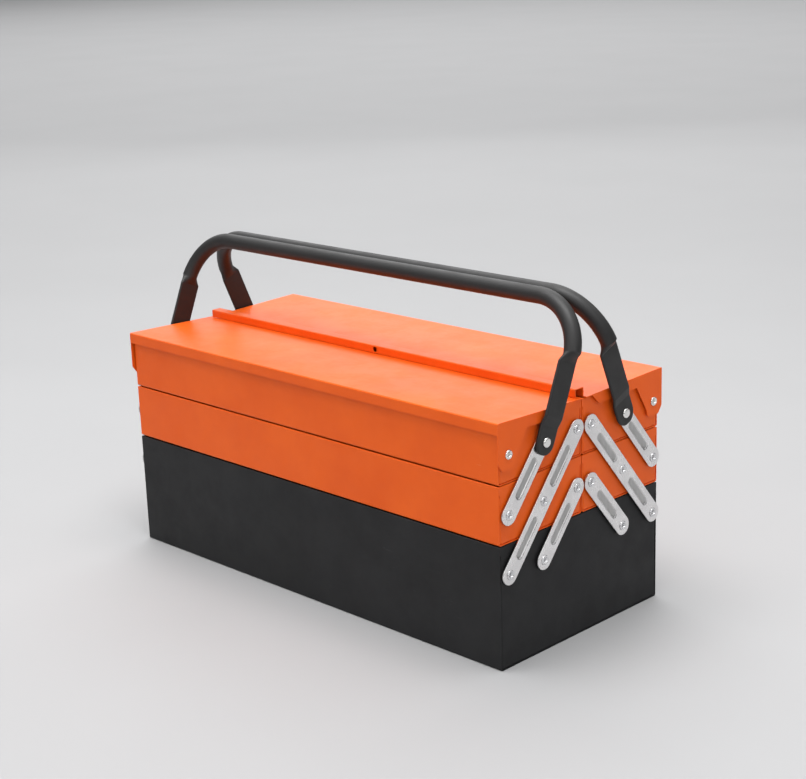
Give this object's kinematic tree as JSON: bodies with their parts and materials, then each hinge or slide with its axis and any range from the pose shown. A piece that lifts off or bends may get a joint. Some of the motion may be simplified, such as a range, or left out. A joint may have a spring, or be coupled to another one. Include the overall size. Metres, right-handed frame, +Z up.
{
  "type": "cantilever tool box",
  "caption": "Steel cantilever tool box: deep base, paired trays that fold out on riveted links, hinged lids and swinging tube handles.",
  "frame": {"origin": "middle of the footprint, on the surface that the box stands on", "axes": "+X along the box, -Y the front (the side whose lid is covered by the raised closing strip), +Z up"},
  "size_m": [0.4866, 0.2052, 0.2876],
  "materials": {
    "orange_paint": "satin powder coat, orange",
    "black_body_paint": "satin powder coat, charcoal black",
    "black_handle_paint": "fine textured powder coat, black",
    "zinc_link": "bright zinc-plated pressing",
    "rivet_steel": "zinc-plated tubular rivet",
    "bright_rivet": "nickel-plated rivet"
  },
  "bodies": {
    "base": {"base_end_left": "black_body_paint", "base_end_right": "black_body_paint", "base_rivets": "rivet_steel", "base_spacers": "rivet_steel", "base_wrapper": "black_body_paint"},
    "long_links_front": {"long_link_front_left": "zinc_link", "long_link_front_right": "zinc_link"},
    "lower_links_front": {"lower_link_front_left": "zinc_link", "lower_link_front_right": "zinc_link"},
    "upper_links_front": {"upper_link_front_left": "zinc_link", "upper_link_front_right": "zinc_link"},
    "lower_tray_front": {"lower_tray_front_end_left": "orange_paint", "lower_tray_front_end_right": "orange_paint", "lower_tray_front_rivets": "rivet_steel", "lower_tray_front_spacers": "rivet_steel", "lower_tray_front_wrapper": "orange_paint"},
    "upper_tray_front": {"upper_tray_front_end_left": "orange_paint", "upper_tray_front_end_right": "orange_paint", "upper_tray_front_handle_rivets": "bright_rivet", "upper_tray_front_lid_rivets": "bright_rivet", "upper_tray_front_link_rivets": "rivet_steel", "upper_tray_front_spacers": "rivet_steel", "upper_tray_front_wrapper": "orange_paint"},
    "lid_front": {"lid_front": "orange_paint"},
    "handle_front": {"handle_front": "black_handle_paint"},
    "long_links_back": {"long_link_back_left": "zinc_link", "long_link_back_right": "zinc_link"},
    "lower_links_back": {"lower_link_back_left": "zinc_link", "lower_link_back_right": "zinc_link"},
    "upper_links_back": {"upper_link_back_left": "zinc_link", "upper_link_back_right": "zinc_link"},
    "lower_tray_back": {"lower_tray_back_end_left": "orange_paint", "lower_tray_back_end_right": "orange_paint", "lower_tray_back_rivets": "rivet_steel", "lower_tray_back_spacers": "rivet_steel", "lower_tray_back_wrapper": "orange_paint"},
    "upper_tray_back": {"upper_tray_back_end_left": "orange_paint", "upper_tray_back_end_right": "orange_paint", "upper_tray_back_handle_rivets": "bright_rivet", "upper_tray_back_lid_rivets": "bright_rivet", "upper_tray_back_link_rivets": "rivet_steel", "upper_tray_back_spacers": "rivet_steel", "upper_tray_back_wrapper": "orange_paint"},
    "lid_back": {"lid_back": "orange_paint"},
    "handle_back": {"handle_back": "black_handle_paint"}
  },
  "joints": [
    {"name": "cantilever_front", "type": "hinge", "parent": "base", "child": "long_links_front", "pos_m": [0, -0.091, 0.0795], "axis": [1, 0, 0], "range_deg": [0, 79.5]},
    {"name": "lower_link_pivot_front", "type": "hinge", "parent": "base", "child": "lower_links_front", "pos_m": [0, -0.05, 0.0795], "axis": [1, 0, 0], "range_deg": [0, 79.5]},
    {"name": "lower_tray_pivot_front", "type": "hinge", "parent": "long_links_front", "child": "lower_tray_front", "pos_m": [0, -0.05, 0.1285], "axis": [1, 0, 0], "range_deg": [-79.5, 0]},
    {"name": "upper_tray_pivot_front", "type": "hinge", "parent": "long_links_front", "child": "upper_tray_front", "pos_m": [0, -0.009, 0.1775], "axis": [1, 0, 0], "range_deg": [-79.5, 0]},
    {"name": "upper_link_pivot_front", "type": "hinge", "parent": "lower_tray_front", "child": "upper_links_front", "pos_m": [0, -0.091, 0.1285], "axis": [1, 0, 0], "range_deg": [0, 79.5]},
    {"name": "lid_hinge_front", "type": "hinge", "parent": "upper_tray_front", "child": "lid_front", "pos_m": [0, -0.091, 0.1775], "axis": [1, 0, 0], "range_deg": [0, 115]},
    {"name": "handle_pivot_front", "type": "hinge", "parent": "upper_tray_front", "child": "handle_front", "pos_m": [0, -0.05, 0.1775], "axis": [1, 0, 0], "range_deg": [0, 154]},
    {"name": "cantilever_back", "type": "hinge", "parent": "base", "child": "long_links_back", "pos_m": [0, 0.091, 0.0795], "axis": [-1, 0, 0], "range_deg": [0, 79.5]},
    {"name": "lower_link_pivot_back", "type": "hinge", "parent": "base", "child": "lower_links_back", "pos_m": [0, 0.05, 0.0795], "axis": [-1, 0, 0], "range_deg": [0, 79.5]},
    {"name": "lower_tray_pivot_back", "type": "hinge", "parent": "long_links_back", "child": "lower_tray_back", "pos_m": [0, 0.05, 0.1285], "axis": [-1, 0, 0], "range_deg": [-79.5, 0]},
    {"name": "upper_tray_pivot_back", "type": "hinge", "parent": "long_links_back", "child": "upper_tray_back", "pos_m": [0, 0.009, 0.1775], "axis": [-1, 0, 0], "range_deg": [-79.5, 0]},
    {"name": "upper_link_pivot_back", "type": "hinge", "parent": "lower_tray_back", "child": "upper_links_back", "pos_m": [0, 0.091, 0.1285], "axis": [-1, 0, 0], "range_deg": [0, 79.5]},
    {"name": "lid_hinge_back", "type": "hinge", "parent": "upper_tray_back", "child": "lid_back", "pos_m": [0, 0.091, 0.1775], "axis": [-1, 0, 0], "range_deg": [0, 115]},
    {"name": "handle_pivot_back", "type": "hinge", "parent": "upper_tray_back", "child": "handle_back", "pos_m": [0, 0.05, 0.1775], "axis": [-1, 0, 0], "range_deg": [0, 154]}
  ],
  "couplings": [
    {"joint": "cantilever_front", "follows": "cantilever_back", "ratio": 1},
    {"joint": "lower_link_pivot_front", "follows": "cantilever_back", "ratio": 1},
    {"joint": "lower_tray_pivot_front", "follows": "cantilever_back", "ratio": -1},
    {"joint": "upper_tray_pivot_front", "follows": "cantilever_back", "ratio": -1},
    {"joint": "upper_link_pivot_front", "follows": "cantilever_back", "ratio": 1},
    {"joint": "lower_link_pivot_back", "follows": "cantilever_back", "ratio": 1},
    {"joint": "lower_tray_pivot_back", "follows": "cantilever_back", "ratio": -1},
    {"joint": "upper_tray_pivot_back", "follows": "cantilever_back", "ratio": -1},
    {"joint": "upper_link_pivot_back", "follows": "cantilever_back", "ratio": 1},
    {"joint": "lid_hinge_front", "follows": "lid_hinge_back", "ratio": 1}
  ]
}
